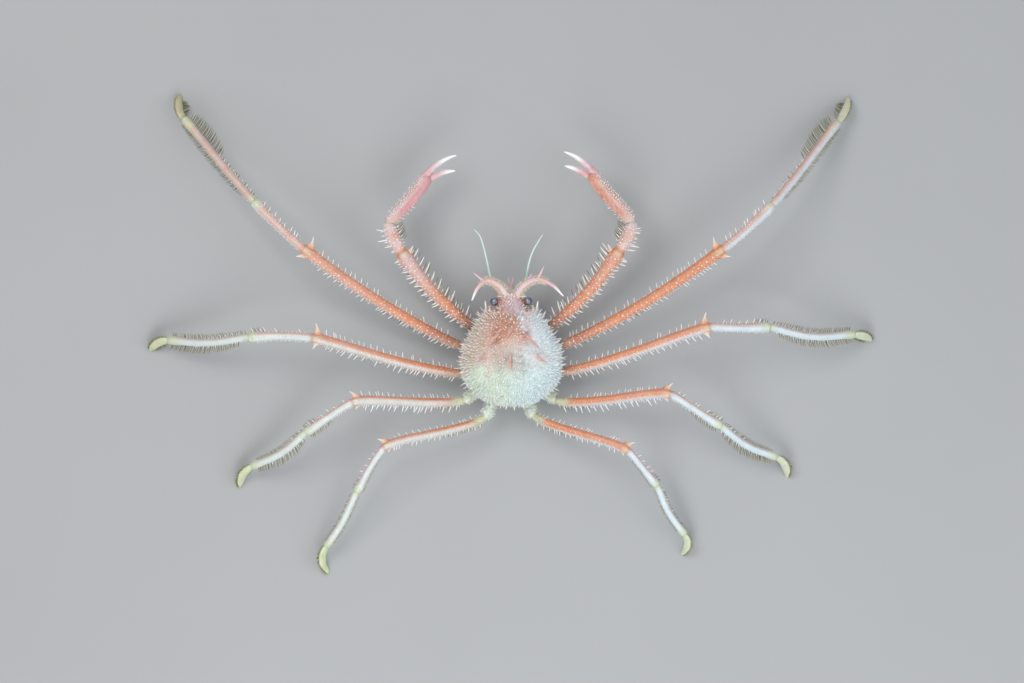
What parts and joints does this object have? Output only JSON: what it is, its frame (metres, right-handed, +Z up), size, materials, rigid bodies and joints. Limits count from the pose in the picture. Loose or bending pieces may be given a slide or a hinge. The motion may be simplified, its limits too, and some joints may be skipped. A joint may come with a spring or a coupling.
{
  "type": "spider crab",
  "caption": "Life-size deep-water spider crab, spiny pear-shaped body on long thin legs, claws held forward, horned snout.",
  "frame": {"origin": "on the floor, under the middle of the model's box", "axes": "+X to the crab's right, along the spread of the legs; +Y forwards, the way the horns and claws point; +Z up"},
  "size_m": [0.2904, 0.1932, 0.0319],
  "materials": {
    "shell": "matt, spiny, with fine fuzz",
    "limb": "satin, with fine grains",
    "tip": "satin, horny",
    "horn": "satin",
    "eye": "wet gloss",
    "feeler": "satin",
    "belly": "matt"
  },
  "bodies": {
    "root": {"antenna_l": "feeler", "antenna_r": "feeler", "arm_l_base": "limb", "arm_l_carpus": "limb", "arm_l_finger": "tip", "arm_l_merus": "limb", "arm_l_palm": "limb", "arm_r_base": "limb", "arm_r_carpus": "limb", "arm_r_finger": "tip", "arm_r_merus": "limb", "arm_r_palm": "limb", "carapace": "shell", "eye_l": "eye", "eye_r": "eye", "horn_l": "horn", "horn_r": "horn", "leg1_l_base": "limb", "leg1_l_carpus": "limb", "leg1_l_dactylus": "tip", "leg1_l_merus": "limb", "leg1_l_propodus": "limb", "leg1_r_base": "limb", "leg1_r_carpus": "limb", "leg1_r_dactylus": "tip", "leg1_r_merus": "limb", "leg1_r_propodus": "limb", "leg2_l_base": "limb", "leg2_l_carpus": "limb", "leg2_l_dactylus": "tip", "leg2_l_merus": "limb", "leg2_l_propodus": "limb", "leg2_r_base": "limb", "leg2_r_carpus": "limb", "leg2_r_dactylus": "tip", "leg2_r_merus": "limb", "leg2_r_propodus": "limb", "leg3_l_base": "limb", "leg3_l_carpus": "limb", "leg3_l_dactylus": "tip", "leg3_l_merus": "limb", "leg3_l_propodus": "limb", "leg3_r_base": "limb", "leg3_r_carpus": "limb", "leg3_r_dactylus": "tip", "leg3_r_merus": "limb", "leg3_r_propodus": "limb", "leg4_l_base": "limb", "leg4_l_carpus": "limb", "leg4_l_dactylus": "tip", "leg4_l_merus": "limb", "leg4_l_propodus": "limb", "leg4_r_base": "limb", "leg4_r_carpus": "limb", "leg4_r_dactylus": "tip", "leg4_r_merus": "limb", "leg4_r_propodus": "limb", "mouthparts": "belly", "sternum": "belly", "tail": "belly"}
  },
  "joints": []
}
